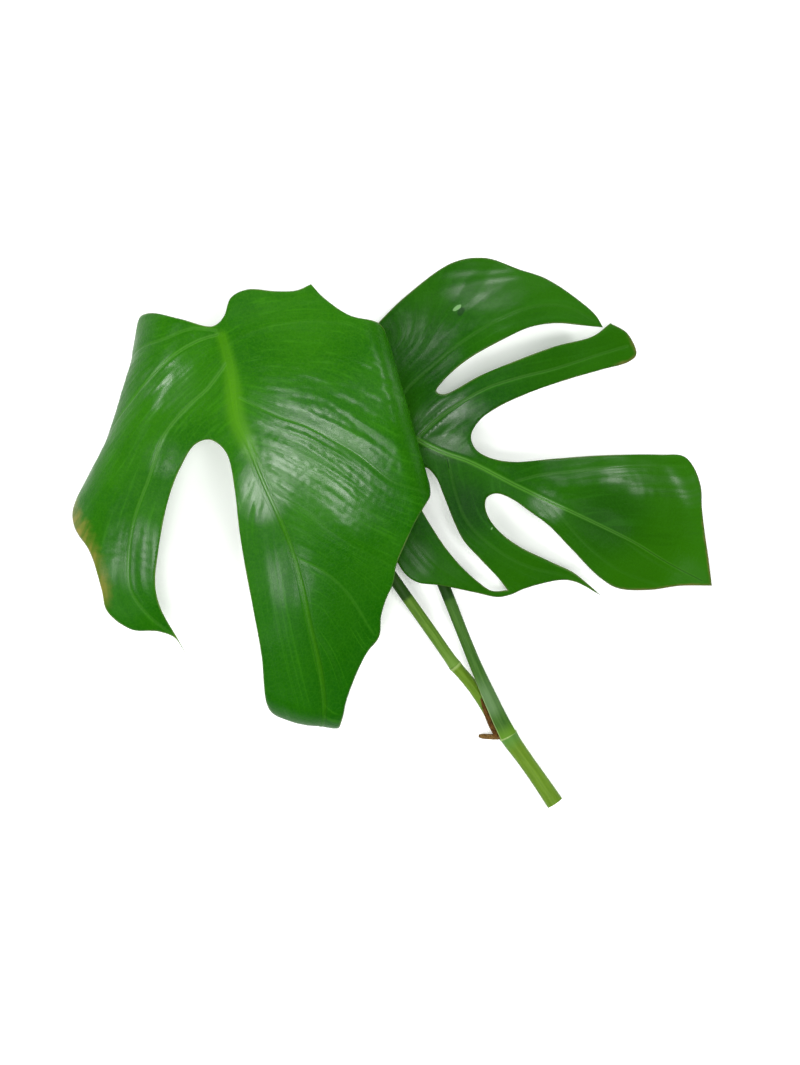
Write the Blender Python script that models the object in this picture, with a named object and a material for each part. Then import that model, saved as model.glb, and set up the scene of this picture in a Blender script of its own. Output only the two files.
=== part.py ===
# A monstera cutting: two leaves on a short cut stem, laid down with the upper faces of its leaves up.
#
# Plan points are millimetres as seen from straight above, x to the right and y up the view.
# A raised point looks larger from above, so the plan is drawn in by its height over EYE_HEIGHT.

import math

import bmesh
import bpy
import numpy as np
from mathutils import Vector
from mathutils.geometry import delaunay_2d_cdt

MM = 0.001
EYE_HEIGHT = 1500.0
PLAN_CENTRE = (-4.11, 0.07)

# Blades
BLADE_THICKNESS = 0.9
MARGIN_SPACING = 6.0
GRID_SPACING = 7.5
VEIN_CLEARANCE = 3.0
RIB_DEPTH = 1.9
RIB_WIDTH = 2.6
LATERAL_RIB_DEPTH = 0.5
LATERAL_RIB_WIDTH = 2.0
PUFF = 0.9
PUFF_REACH = 8.0
PRESSED_HEIGHT = 8.0
FLOOR_BLEND = 2.0

# Stems
STEM_SIDES = 16
STEM_STEP = 5.0

# The front leaf: its margin from the top point clockwise, in stretches that end at sharp tips.
FRONT_MARGIN = [
    [
        (-49, 136.5), (-42.5, 129.5), (-28, 119.5), (-10, 115), (0, 107), (8, 96), (16, 76),
        (20.5, 57), (23.5, 42), (22.5, 26), (12, 12.5), (2, -7.5), (-2, -17.5), (-4, -28), (-8, -37),
        (-10.5, -46), (-11.5, -57), (-18, -65.5), (-23, -75), (-29.5, -92), (-32, -103), (-36, -113),
        (-50, -123),
    ],
    [
        (-50, -123), (-65, -114), (-73, -95), (-76, -67.5), (-80.5, -42.5), (-85, -19), (-88.5, 3),
        (-91, 25), (-95.5, 44), (-104, 51), (-112.5, 48.5), (-121, 35), (-127.5, 17.5), (-133, -11),
        (-134.5, -29), (-131.5, -42), (-118, -66),
    ],
    [
        (-118, -66), (-124, -58), (-133, -54.5), (-148, -53), (-161, -43), (-164, -31), (-171, -9.5),
        (-178, -1), (-189, 13), (-202, 34), (-201, 62), (-191, 88), (-176, 108), (-160, 119.5),
        (-140, 121.5), (-121, 117.5), (-103, 113.5), (-97, 118.5), (-93, 129), (-84, 133.5),
        (-68, 132.5), (-57, 133), (-49, 136.5),
    ],
]
FRONT_HOLES = []
FRONT_HEIGHTS = [
    (-98, 110, 64), (-86, 52, 62), (-70, 15, 56), (-55, -25, 47), (-44, -75, 33), (-47, -102, 25),
    (-118, 112, 57), (-142, 112, 50), (-128, 72, 55), (-158, 62, 47), (-110, 62, 58), (-150, 12, 38),
    (-130, 10, 41), (-162, -20, 22), (-142, -45, 19), (-119, -63, 11), (-172, 10, 33),
    (-80, 128, 57), (-48, 132, 52), (-50, 80, 61), (-15, 100, 53), (-10, 50, 55), (5, 20, 46),
    (-30, 0, 51), (-8, -30, 36), (-24, -75, 25), (-34, -103, 21), (-80, -60, 38), (-73, -97, 24),
    (-93, 22, 55),
]
FRONT_FOLDS = [
    {"start": (-143, 119), "end": (-177, 19), "radius": 25, "turn": 115, "bow": 5, "side": 1},
    {"start": (-6.5, 104), "end": (16, 24.5), "radius": 12, "turn": 115, "bow": 0, "side": -1},
    {"start": (-72.5, -98), "end": (-32, -107.5), "radius": 10, "turn": 95, "bow": -2.5, "side": 1},
]
FRONT_MIDRIB = [
    (-98, 108), (-93.5, 91), (-89.5, 62), (-84, 49), (-75, 27), (-61, -5), (-54, -28), (-50, -48),
    (-43, -81), (-42, -103), (-47, -117),
]
FRONT_LATERALS = [
    [(-101, 111), (-115, 112), (-130, 106.5), (-150, 102), (-168, 96)],
    [(-97, 105), (-115.5, 100.5), (-136, 86.5), (-149, 74), (-180, 52)],
    [(-94.5, 95), (-106, 79), (-116, 70), (-130, 53), (-138, 30), (-146, 8), (-149, -10),
     (-148, -32), (-138, -46), (-124, -57)],
    [(-76, 29), (-83, 7), (-79, -31), (-72, -67), (-63, -103)],
    [(-95.5, 102), (-80, 111), (-55, 116), (-30, 115), (-6, 106)],
    [(-88, 74), (-67, 64), (-52, 59), (-37, 51), (-22, 42), (-4, 28), (16, 22)],
    [(-74, 24.5), (-57, 14.5), (-30, -4.5), (-6, -18)],
    [(-57, -14), (-42, -21.5), (-30, -32), (-15, -55)],
    [(-49, -51), (-38.5, -67), (-31, -88)],
]

# The back leaf: its margin from the base notch clockwise, then the slit that closes at its margin.
BACK_MARGIN = [
    [
        (-8.5, 62), (-12, 65.5), (-21, 67), (-28, 74), (-29.5, 87), (-24, 101.5), (-11.5, 115.5),
        (4, 130.5), (29, 148.5), (47, 151), (66, 144.5), (80, 139.5), (99, 127), (108, 119),
        (111.5, 112.8),
    ],
    [
        (111.5, 112.8), (98.5, 114), (85.5, 115), (71.5, 112.8), (56.5, 106), (36.5, 94.5), (23.5, 83),
        (20, 77.5), (24, 76), (44.5, 86.5), (65, 95), (85.5, 102.5), (106, 108), (115.5, 115),
    ],
    [
        (115.5, 115), (125, 109.5), (130, 98), (126, 94), (110.5, 89.5), (90, 83.5), (70, 76.5),
        (53, 68.5), (43.5, 61.5), (39, 53), (41.5, 46), (48.5, 41.5), (61.5, 38.8), (84.5, 40.5),
        (110, 42.3), (143, 42.8), (156, 42), (161.5, 36), (165.5, 25), (166, 14), (167.8, -2),
        (169.7, -15), (171.6, -29.3),
    ],
    [
        (171.6, -29.3), (154, -29.3), (137.5, -31.5), (120, -30.5), (110, -24.5), (94.5, -9),
        (82, 3.8), (71.5, 11.5), (60.5, 19), (52.8, 21.5), (48, 19.5), (46.8, 15), (48.7, 8.5),
        (54.5, 0.8), (65.5, -7.5), (83, -16), (95, -21.7), (103.5, -28.5), (110.4, -34.5),
    ],
    [
        (110.4, -34.5), (97.5, -27.5), (90.5, -26), (80, -27.5), (68, -31), (60.5, -34.2),
        (53.5, -35.5), (41.5, -33), (22, -29), (10, -27.5), (3.5, -23.5), (-1.7, -16), (-7, -5),
        (-12, 8), (-15.5, 23), (-16, 40), (-12.5, 53), (-8.5, 62),
    ],
]
BACK_HOLES = [
    [
        [(59, -31.6), (54, -25), (44, -14.5), (35, -4.5), (30.5, 4), (26.5, 14), (23, 23), (20, 30),
         (14, 35.8), (8.5, 31), (8.3, 20.5), (12, 12.5), (17.5, 3), (25.5, -9), (34, -19),
         (43, -27.2), (50.5, -32), (59, -31.6)],
    ],
]
BACK_HEIGHTS = [
    (-8, 60, 23), (24, 44, 25), (55, 31, 24), (91, 13, 22), (129, -5, 17), (169, -28, 5),
    (-24, 80, 16), (5, 78, 22), (4, 129, 6), (29, 147, -4), (57, 147, -4), (82, 138, 6),
    (36, 98, 21), (55, 117, 20), (98, 121, 14), (111, 112, 13), (36, 74, 25), (65, 85, 22),
    (95, 93, 15), (127, 102, 7), (44, 60, 22), (88, 39, 16), (132, 41, 8), (158, 40, -4),
    (132, 18, 16), (164, 5, 2), (88, -1, 17), (115, -27, 8), (145, -30, 3), (28, 29, 23),
    (48, 9, 20), (64, -16, 12), (84, -22, 8), (110, -34, 3), (55, -30, 9), (-13, 10, 19),
    (22, -15, 20), (20, -29, 19.5), (42, -31, 14),
]
BACK_FOLDS = []
BACK_MIDRIB = [
    (-7, 60.5), (10.5, 50.5), (24, 44), (38, 39), (64.5, 25.5), (91, 13), (110, 4), (129, -5.5),
    (147, -16.5), (166, -26.5),
]
BACK_LATERALS = [
    [(-9, 64), (-17, 74), (-19, 88), (-9, 108)],
    [(-5, 62), (3, 77.5), (19, 92.5), (34.5, 105), (54.5, 117), (75, 124.5), (93.5, 123.5), (108, 116)],
    [(9, 51.5), (24, 65), (47, 79), (65, 85), (85, 90), (110, 98), (125, 102.5)],
    [(61.5, 27.5), (77, 31.5), (96, 33.5), (122, 36.5), (157, 36)],
    [(25, 43), (27.5, 34.5), (31, 20), (37.5, 5), (54, -10), (72, -19), (91, -23.5), (104, -30)],
    [(-3.5, 58), (0, 42.5), (0.5, 20.5), (6, 0), (19, -17), (38, -29), (50, -33.6)],
    [(80, 18), (91, 6), (104.5, -8.5), (122, -21.5), (142, -28.5)],
    [(118, 0.3), (135, -13), (154, -24)],
]

# Stem routes: plan x, plan y, height of the centre line, half width, half height.
LOWER_INTERNODE = [
    (85.3, -148.8, 4.7, 4.7, 4.7), (78, -138, 4.7, 4.4, 4.4), (68.5, -124.5, 5.3, 4.3, 4.3),
    (62, -115.5, 6.1, 4.7, 4.7), (59.5, -111.5, 6.5, 5.0, 5.0),
]
UPPER_INTERNODE = [
    (57.3, -111.5, 4.2, 2.6, 2.6), (53.2, -106.5, 4.2, 2.9, 2.8), (46.3, -93.8, 5.0, 3.3, 3.2),
    (39.8, -84.3, 6.8, 3.3, 3.3), (32.6, -75.8, 8.7, 3.25, 3.25), (30.4, -73.3, 9.2, 3.5, 3.5),
]
PETIOLE_FRONT = [
    (30.0, -72.8, 9.3, 3.5, 3.5), (28, -70, 9.7, 3.2, 3.2), (14, -50, 12.5, 3.1, 3.1),
    (-3, -26, 17, 3.1, 3.1), (-26, 7, 25, 3.1, 3.1), (-50, 41, 35, 3.1, 3.1), (-72, 72, 45, 3.2, 3.2),
    (-86, 92, 51.5, 3.6, 3.6), (-93, 102, 54.8, 3.9, 3.9), (-97, 108, 57.7, 3.7, 3.7),
]
PETIOLE_BACK = [
    (59.4, -111.3, 9.5, 4.7, 2.3), (54.5, -101.6, 10.8, 4.3, 2.7), (49.4, -90.5, 12.2, 3.9, 3.1),
    (41.6, -73, 12.8, 3.3, 3.2), (35.4, -57.8, 12.8, 3.1, 3.1), (26, -34, 12.3, 3.2, 3.2),
    (14, -5, 12.3, 3.2, 3.2), (2, 27, 13.6, 3.3, 3.3), (-6, 50, 16, 3.6, 3.6), (-8.5, 57, 18, 3.4, 3.4),
]
AERIAL_ROOT = [
    (54.9, -115, 3.9, 1.5, 1.5), (50, -113.5, 3.0, 1.4, 1.4), (45.5, -112.2, 2.6, 1.3, 1.3),
    (43.5, -111.9, 2.4, 0.8, 0.8),
]
DRIED_SHEATH = [
    (53.2, -112, 8.1, 1.3, 0.45), (50.2, -105.5, 8.1, 1.7, 0.45), (46.9, -98, 8.8, 1.2, 0.45),
    (44.6, -91.5, 9.6, 0.4, 0.35),
]


def smooth_line(points, spacing):
    """A smooth curve through the points, read off at even steps near the given spacing."""
    given = np.array(points, float)
    ends = np.vstack([2 * given[0] - given[1], given, 2 * given[-1] - given[-2]])
    fine = []
    for a, b, c, d in zip(ends, ends[1:], ends[2:], ends[3:]):
        k = [0.0]
        for p, q in ((a, b), (b, c), (c, d)):
            k.append(k[-1] + math.sqrt(np.linalg.norm((q - p)[:2])))
        for t in np.linspace(k[1], k[2], 16, endpoint=False):
            ab = ((k[1] - t) * a + t * b) / k[1]
            bc = ((k[2] - t) * b + (t - k[1]) * c) / (k[2] - k[1])
            cd = ((k[3] - t) * c + (t - k[2]) * d) / (k[3] - k[2])
            abc = ((k[2] - t) * ab + t * bc) / k[2]
            bcd = ((k[3] - t) * bc + (t - k[1]) * cd) / (k[3] - k[1])
            fine.append(((k[2] - t) * abc + (t - k[1]) * bcd) / (k[2] - k[1]))
    fine = np.array(fine + [given[-1]])
    steps = np.linalg.norm(np.diff(fine[:, :2], axis=0), axis=1)
    along = np.concatenate([[0], np.cumsum(steps)])
    count = max(2, int(round(along[-1] / spacing)) + 1)
    wanted = np.linspace(0, along[-1], count)
    return np.stack([np.interp(wanted, along, fine[:, n]) for n in range(fine.shape[1])], axis=1)


def closed_line(stretches, spacing):
    return np.vstack([smooth_line(stretch, spacing)[:-1] for stretch in stretches])


def inside(points, loop):
    """Which points lie inside a closed loop, by counting the edges crossed to the right."""
    a = loop
    b = np.roll(loop, -1, axis=0)
    x, y = points[:, :1], points[:, 1:]
    spans = (a[:, 1] > y) != (b[:, 1] > y)
    run = np.where(b[:, 1] == a[:, 1], 1.0, b[:, 1] - a[:, 1])
    crossing = a[:, 0] + (y - a[:, 1]) * (b[:, 0] - a[:, 0]) / run
    return (spans & (x < crossing)).sum(axis=1) % 2 == 1


def distance_to_line(points, line):
    """Distance to an open line, and how far along it the nearest place is, from 0 to 1."""
    a, b = line[:-1], line[1:]
    run = b - a
    length = np.linalg.norm(run, axis=1)
    offset = points[:, None] - a
    share = np.clip((offset * run).sum(2) / length ** 2, 0, 1)
    gap = np.linalg.norm(offset - share[..., None] * run, axis=2)
    nearest = gap.argmin(axis=1)
    rows = np.arange(len(points))
    reached = (np.cumsum(length) - length)[nearest] + share[rows, nearest] * length[nearest]
    return gap[rows, nearest], reached / length.sum()


def height_sheet(spots):
    """A thin plate bent through every (x, y, height) spot."""
    spots = np.array(spots, float)
    count = len(spots)

    def bend(distance):
        return distance ** 2 * np.log(np.maximum(distance, 1e-9))

    system = np.zeros((count + 3, count + 3))
    system[:count, :count] = bend(np.linalg.norm(spots[:, None, :2] - spots[None, :, :2], axis=2))
    system[:count, count] = 1
    system[:count, count + 1:] = spots[:, :2]
    system[count:, :count] = system[:count, count:].T
    weights = np.linalg.solve(system, np.concatenate([spots[:, 2], np.zeros(3)]))

    def height(points):
        reach = np.linalg.norm(points[:, None] - spots[None, :, :2], axis=2)
        return bend(reach) @ weights[:count] + weights[count] + points @ weights[count + 1:]

    return height


def bend_over(points, height, fold):
    """Rolls what lies past a fold line down over a cylinder whose outer side is that line."""
    start, end = np.array(fold["start"], float), np.array(fold["end"], float)
    length = np.linalg.norm(end - start)
    along = (end - start) / length
    outward = np.array([along[1], -along[0]]) * fold["side"]
    radius, turn = fold["radius"], math.radians(fold["turn"])
    place = np.clip((points - start) @ along / length, 0, 1)
    reach = (points - start) @ outward + radius + 4 * fold["bow"] * place * (1 - place)
    angle = np.clip(reach / radius, 0, turn)
    beyond = np.maximum(reach - radius * turn, 0)
    seen = radius * np.sin(angle) + beyond * math.cos(turn)
    drop = radius * (1 - np.cos(angle)) + beyond * math.sin(turn)
    shift = np.where(reach > 0, seen - reach, 0)
    return points + shift[:, None] * outward, height - np.where(reach > 0, drop, 0)


def to_world(x, y, z):
    pull = 1 - z / EYE_HEIGHT
    return np.stack([x * pull - PLAN_CENTRE[0], y * pull - PLAN_CENTRE[1], z], axis=-1)


class Blade:
    """A leaf blade: plan outline, height, folds and veins, as a surface over flat blade points."""

    def __init__(self, margin, holes, heights, folds, midrib, laterals):
        self.margin = margin
        self.holes = holes
        self.height = height_sheet(heights)
        self.folds = folds
        self.midrib = smooth_line(midrib, 4)
        self.laterals = [smooth_line(line, 5) for line in laterals]

    def surface(self, points):
        height = self.height(points)
        for fold in self.folds:
            points, height = bend_over(points, height, fold)
        floor = BLADE_THICKNESS / 2
        blend = np.maximum(1 - np.abs(height - floor) / FLOOR_BLEND, 0)
        height = np.maximum(height, floor) + blend ** 2 * FLOOR_BLEND / 4
        return to_world(points[:, 0], points[:, 1], height)

    def normals(self, points):
        step = 0.4
        across = self.surface(points + [step, 0]) - self.surface(points - [step, 0])
        up = self.surface(points + [0, step]) - self.surface(points - [0, step])
        normal = np.cross(across, up)
        return normal / np.linalg.norm(normal, axis=1)[:, None]

    def faces_of(self, points):
        """Upper and lower points: puffed up between the veins and ribbed below, but flat on the floor."""
        to_mid, share = distance_to_line(points, self.midrib)
        to_side = np.min([distance_to_line(points, line)[0] for line in self.laterals], axis=0)
        near = np.minimum(to_mid, to_side)
        relief = PUFF * (1 - np.exp(-(near / PUFF_REACH) ** 2)) - PUFF / 2
        taper = 1 - 0.75 * share
        rib = RIB_DEPTH * taper * np.exp(-(to_mid / RIB_WIDTH) ** 2)
        rib += LATERAL_RIB_DEPTH * taper * np.exp(-(to_side / LATERAL_RIB_WIDTH) ** 2)
        place, normal = self.surface(points), self.normals(points)
        pressed = np.clip((place[:, 2] - BLADE_THICKNESS / 2) / PRESSED_HEIGHT, 0, 1)
        relief *= pressed
        rib *= pressed
        upper = place + normal * (BLADE_THICKNESS / 2 + relief)[:, None]
        lower = place - normal * (BLADE_THICKNESS / 2 + rib - relief)[:, None]
        lift = np.maximum(-np.minimum(upper[:, 2], lower[:, 2]), 0)
        upper[:, 2] += lift
        lower[:, 2] += lift
        return upper, lower

    def flat_mesh(self):
        """Triangles over the flat blade, with the margin and the main veins as edges."""
        loops = [closed_line(self.margin, MARGIN_SPACING)]
        loops += [closed_line(hole, MARGIN_SPACING) for hole in self.holes]
        points = np.vstack(loops)
        edges = []
        first = 0
        for loop in loops:
            edges += [(first + n, first + (n + 1) % len(loop)) for n in range(len(loop))]
            first += len(loop)
        border = points.copy()
        for line in [self.midrib] + self.laterals:
            line = smooth_line(line, GRID_SPACING)
            clear = self.in_blade(line, loops)
            gaps = np.linalg.norm(line[:, None] - border, axis=2).min(axis=1)
            clear &= gaps > VEIN_CLEARANCE
            kept = np.flatnonzero(clear)
            new = {old: len(points) + n for n, old in enumerate(kept)}
            points = np.vstack([points, line[kept]])
            edges += [(new[n], new[n + 1]) for n in kept if n + 1 in new]
        low, high = border.min(axis=0), border.max(axis=0)
        rows = np.arange(low[1], high[1], GRID_SPACING * math.sqrt(0.75))
        grid = []
        for n, y in enumerate(rows):
            x = np.arange(low[0] + GRID_SPACING * (n % 2) / 2, high[0], GRID_SPACING)
            grid.append(np.stack([x, np.full_like(x, y)], axis=1))
        grid = np.vstack(grid)
        gaps = np.linalg.norm(grid[:, None] - points, axis=2).min(axis=1)
        grid = grid[self.in_blade(grid, loops) & (gaps > GRID_SPACING * 0.62)]
        points = np.vstack([points, grid])
        found = delaunay_2d_cdt([Vector(p) for p in points], edges, [], 0, 1e-4)
        flat = np.array([tuple(p) for p in found[0]])
        triangles = np.array([face for face in found[2] if len(face) == 3])
        middles = flat[triangles].mean(axis=1)
        return flat, triangles[self.in_blade(middles, loops)]

    @staticmethod
    def in_blade(points, loops):
        within = inside(points, loops[0])
        for hole in loops[1:]:
            within &= ~inside(points, hole)
        return within

    def build(self, name, material):
        flat, triangles = self.flat_mesh()
        used = np.unique(triangles)
        renumber = {old: n for n, old in enumerate(used)}
        triangles = [tuple(renumber[n] for n in triangle) for triangle in triangles]
        upper, lower = self.faces_of(flat[used])
        shell = bmesh.new()
        top = [shell.verts.new(Vector(p) * MM) for p in upper]
        under = [shell.verts.new(Vector(p) * MM) for p in lower]
        for a, b, c in triangles:
            shell.faces.new((top[a], top[b], top[c]))
            shell.faces.new((under[c], under[b], under[a]))
        sides = {(a, b) for t in triangles for a, b in zip(t, t[1:] + t[:1])}
        for a, b in sorted(sides):
            if (b, a) not in sides:
                shell.faces.new((top[b], top[a], under[a], under[b]))
        return finish(shell, name, material)


def build_stem(name, route, material):
    """A round or oval stem swept along its route, with flat ends."""
    line = smooth_line(route, STEM_STEP)
    centres = to_world(line[:, 0], line[:, 1], line[:, 2])
    tangents = np.gradient(centres, axis=0)
    shell = bmesh.new()
    rings = []
    for centre, tangent, (wide, high) in zip(centres, tangents, line[:, 3:]):
        tangent = Vector(tangent).normalized()
        side = tangent.cross(Vector((0, 0, 1))).normalized()
        up = side.cross(tangent)
        ring = []
        for n in range(STEM_SIDES):
            turn = math.tau * n / STEM_SIDES
            spot = Vector(centre) + side * wide * math.cos(turn) + up * high * math.sin(turn)
            ring.append(shell.verts.new(spot * MM))
        rings.append(ring)
    for near, far in zip(rings, rings[1:]):
        for n in range(STEM_SIDES):
            m = (n + 1) % STEM_SIDES
            shell.faces.new((near[n], near[m], far[m], far[n]))
    shell.faces.new(reversed(rings[0]))
    shell.faces.new(rings[-1])
    return finish(shell, name, material)


def finish(shell, name, material):
    bmesh.ops.recalc_face_normals(shell, faces=shell.faces)
    mesh = bpy.data.meshes.new(name)
    shell.to_mesh(mesh)
    shell.free()
    mesh.shade_smooth()
    mesh.set_sharp_from_angle(angle=math.radians(50))
    mesh.materials.append(material)
    piece = bpy.data.objects.new(name, mesh)
    bpy.context.scene.collection.objects.link(piece)
    return piece


def make_material(name, colour, roughness):
    material = bpy.data.materials.new(name)
    material.use_nodes = True
    shader = material.node_tree.nodes["Principled BSDF"]
    shader.inputs["Base Color"].default_value = (*colour, 1)
    shader.inputs["Roughness"].default_value = roughness
    shader.inputs["Metallic"].default_value = 0
    return material


def main():
    for old in list(bpy.data.objects):
        bpy.data.objects.remove(old)

    bright_leaf = make_material("bright leaf", (0.045, 0.211, 0.008), 0.35)
    dark_leaf = make_material("dark leaf", (0.018, 0.105, 0.004), 0.35)
    pale_stem = make_material("pale stem", (0.164, 0.302, 0.027), 0.45)
    green_stem = make_material("green stem", (0.075, 0.16, 0.02), 0.45)
    brown_skin = make_material("brown skin", (0.09, 0.06, 0.015), 0.8)

    front = Blade(FRONT_MARGIN, FRONT_HOLES, FRONT_HEIGHTS, FRONT_FOLDS, FRONT_MIDRIB, FRONT_LATERALS)
    back = Blade(BACK_MARGIN, BACK_HOLES, BACK_HEIGHTS, BACK_FOLDS, BACK_MIDRIB, BACK_LATERALS)
    front.build("leaf_front", bright_leaf)
    back.build("leaf_back", dark_leaf)
    build_stem("lower_internode", LOWER_INTERNODE, pale_stem)
    build_stem("upper_internode", UPPER_INTERNODE, pale_stem)
    build_stem("petiole_front", PETIOLE_FRONT, pale_stem)
    build_stem("petiole_back", PETIOLE_BACK, green_stem)
    build_stem("aerial_root", AERIAL_ROOT, brown_skin)
    build_stem("dried_sheath", DRIED_SHEATH, brown_skin)


main()
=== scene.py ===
import math

import bmesh
import bpy
import numpy as np
from numpy.linalg import norm, solve
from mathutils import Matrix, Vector, noise
from mathutils.geometry import delaunay_2d_cdt
from mathutils.kdtree import KDTree


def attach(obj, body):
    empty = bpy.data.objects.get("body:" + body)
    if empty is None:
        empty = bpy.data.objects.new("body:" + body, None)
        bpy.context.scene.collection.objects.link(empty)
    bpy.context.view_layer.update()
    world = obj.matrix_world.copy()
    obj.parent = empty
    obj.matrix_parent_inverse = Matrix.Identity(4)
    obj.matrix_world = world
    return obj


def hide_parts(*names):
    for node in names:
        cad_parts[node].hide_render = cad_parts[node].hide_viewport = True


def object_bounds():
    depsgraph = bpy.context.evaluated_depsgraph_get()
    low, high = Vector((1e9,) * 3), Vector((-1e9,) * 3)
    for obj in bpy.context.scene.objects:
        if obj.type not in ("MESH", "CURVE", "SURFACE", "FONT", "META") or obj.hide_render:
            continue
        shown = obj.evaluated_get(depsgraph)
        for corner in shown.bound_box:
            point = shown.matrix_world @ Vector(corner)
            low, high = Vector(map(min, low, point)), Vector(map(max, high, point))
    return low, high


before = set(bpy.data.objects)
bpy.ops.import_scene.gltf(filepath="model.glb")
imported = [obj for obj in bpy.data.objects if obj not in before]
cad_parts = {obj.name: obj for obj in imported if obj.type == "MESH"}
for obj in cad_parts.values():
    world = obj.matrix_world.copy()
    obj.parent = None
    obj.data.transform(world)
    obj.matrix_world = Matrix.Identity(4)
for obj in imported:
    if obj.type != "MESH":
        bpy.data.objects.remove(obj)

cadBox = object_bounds()
mm = 0.001

# plan points are millimetres as seen from straight above, as in the part's own drawing
plan = {
    "eyeHeight": 1500.0,
    "centre": (-4.11, 0.07),
    "photoHeight": 585.75,  # what the picture's long side covers on the floor
    "sensor": 36.0,
    "topClearance": 0.05,
    "topEasing": 1.5,
}


def smoothLine(points, spacing):
    # a smooth curve through the points, read off at even steps
    given = np.array(points, float)
    ends = np.vstack([2 * given[0] - given[1], given, 2 * given[-1] - given[-2]])
    fine = []
    for a, b, c, d in zip(ends, ends[1:], ends[2:], ends[3:]):
        k = [0.0]
        for p, q in ((a, b), (b, c), (c, d)):
            k.append(k[-1] + math.sqrt(norm((q - p)[:2])))
        for t in np.linspace(k[1], k[2], 24, endpoint=False):
            ab = ((k[1] - t) * a + t * b) / k[1]
            bc = ((k[2] - t) * b + (t - k[1]) * c) / (k[2] - k[1])
            cd = ((k[3] - t) * c + (t - k[2]) * d) / (k[3] - k[2])
            abc = ((k[2] - t) * ab + t * bc) / k[2]
            bcd = ((k[3] - t) * bc + (t - k[1]) * cd) / (k[3] - k[1])
            fine.append(((k[2] - t) * abc + (t - k[1]) * bcd) / (k[2] - k[1]))
    fine = np.array(fine + [given[-1]])
    steps = norm(np.diff(fine[:, :2], axis=0), axis=1)
    along = np.concatenate([[0], np.cumsum(steps)])
    count = max(2, int(round(along[-1] / spacing)) + 1)
    wanted = np.linspace(0, along[-1], count)
    return np.stack([np.interp(wanted, along, fine[:, n]) for n in range(fine.shape[1])], axis=1)


def closedLine(stretches, spacing):
    return np.vstack([smoothLine(stretch, spacing)[:-1] for stretch in stretches])


def insideLoop(points, loop):
    a, b = loop, np.roll(loop, -1, axis=0)
    x, y = points[:, :1], points[:, 1:]
    spans = (a[:, 1] > y) != (b[:, 1] > y)
    run = np.where(b[:, 1] == a[:, 1], 1.0, b[:, 1] - a[:, 1])
    crossing = a[:, 0] + (y - a[:, 1]) * (b[:, 0] - a[:, 0]) / run
    return (spans & (x < crossing)).sum(axis=1) % 2 == 1


def toLine(points, line):
    # distance to an open line, how far along it (0 to 1), and on which side
    a, b = line[:-1], line[1:]
    run = b - a
    length = norm(run, axis=1)
    offset = points[:, None] - a
    share = np.clip((offset * run).sum(2) / length ** 2, 0, 1)
    gap = norm(offset - share[..., None] * run, axis=2)
    nearest = gap.argmin(axis=1)
    rows = np.arange(len(points))
    reached = (np.cumsum(length) - length)[nearest] + share[rows, nearest] * length[nearest]
    step = offset[rows, nearest]
    way = run[nearest]
    side = np.sign(way[:, 0] * step[:, 1] - way[:, 1] * step[:, 0])
    return gap[rows, nearest], reached / length.sum(), side


def nearestGap(points, targets):
    tree = KDTree(len(targets))
    for n, spot in enumerate(targets):
        tree.insert((spot[0], spot[1], 0), n)
    tree.balance()
    return np.array([tree.find((p[0], p[1], 0))[2] for p in points])


def heightSheet(spots):
    # a thin plate bent through every (x, y, height) spot
    spots = np.array(spots, float)
    count = len(spots)

    def bend(distance):
        return distance ** 2 * np.log(np.maximum(distance, 1e-9))

    system = np.zeros((count + 3, count + 3))
    system[:count, :count] = bend(norm(spots[:, None, :2] - spots[None, :, :2], axis=2))
    system[:count, count] = 1
    system[:count, count + 1:] = spots[:, :2]
    system[count:, :count] = system[:count, count:].T
    weights = solve(system, np.concatenate([spots[:, 2], np.zeros(3)]))

    def height(points):
        reach = norm(points[:, None] - spots[None, :, :2], axis=2)
        return bend(reach) @ weights[:count] + weights[count] + points @ weights[count + 1:]

    return height


def bendOver(points, height, fold):
    # rolls what lies past a fold line down over a cylinder whose outer side is that line
    start, end = np.array(fold["start"], float), np.array(fold["end"], float)
    length = norm(end - start)
    along = (end - start) / length
    outward = np.array([along[1], -along[0]]) * fold["side"]
    radius, turn = fold["radius"], math.radians(fold["turn"])
    place = np.clip((points - start) @ along / length, 0, 1)
    reach = (points - start) @ outward + radius + 4 * fold["bow"] * place * (1 - place)
    angle = np.clip(reach / radius, 0, turn)
    beyond = np.maximum(reach - radius * turn, 0)
    seen = radius * np.sin(angle) + beyond * math.cos(turn)
    drop = radius * (1 - np.cos(angle)) + beyond * math.sin(turn)
    shift = np.where(reach > 0, seen - reach, 0)
    return points + shift[:, None] * outward, height - np.where(reach > 0, drop, 0)


def toWorld(x, y, z):
    pull = 1 - z / plan["eyeHeight"]
    return np.stack([x * pull - plan["centre"][0], y * pull - plan["centre"][1], z], axis=-1)


def ripple(x, y, seed):
    return np.array([noise.noise((a, b, seed)) for a, b in zip(x, y)])


def hump(distance, width):
    return np.exp(-(distance / width) ** 2)


def ease(value, low, high):
    share = np.clip((value - low) / (high - low), 0, 1)
    return share * share * (3 - 2 * share)


def rails(line, offsets):
    # rows of points beside a line, for a finer mesh along a vein
    way = np.gradient(line, axis=0)
    way /= norm(way, axis=1)[:, None]
    across = np.stack([way[:, 1], -way[:, 0]], axis=1)
    return np.vstack([line + across * side * offset for offset in offsets for side in (-1, 1)])


def keepInBox(points):
    # the finer surface stays inside the plain solids' box, eased down below its top
    low, high = np.array(cadBox) / mm
    points[:, :2] = np.clip(points[:, :2], low[:2], high[:2])
    soft = plan["topEasing"]
    knee = high[2] - plan["topClearance"] - soft / 2
    over = np.clip(points[:, 2] - knee, 0, soft)
    points[:, 2] = np.minimum(points[:, 2], knee) + over - over ** 2 / (2 * soft)
    return points


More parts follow.
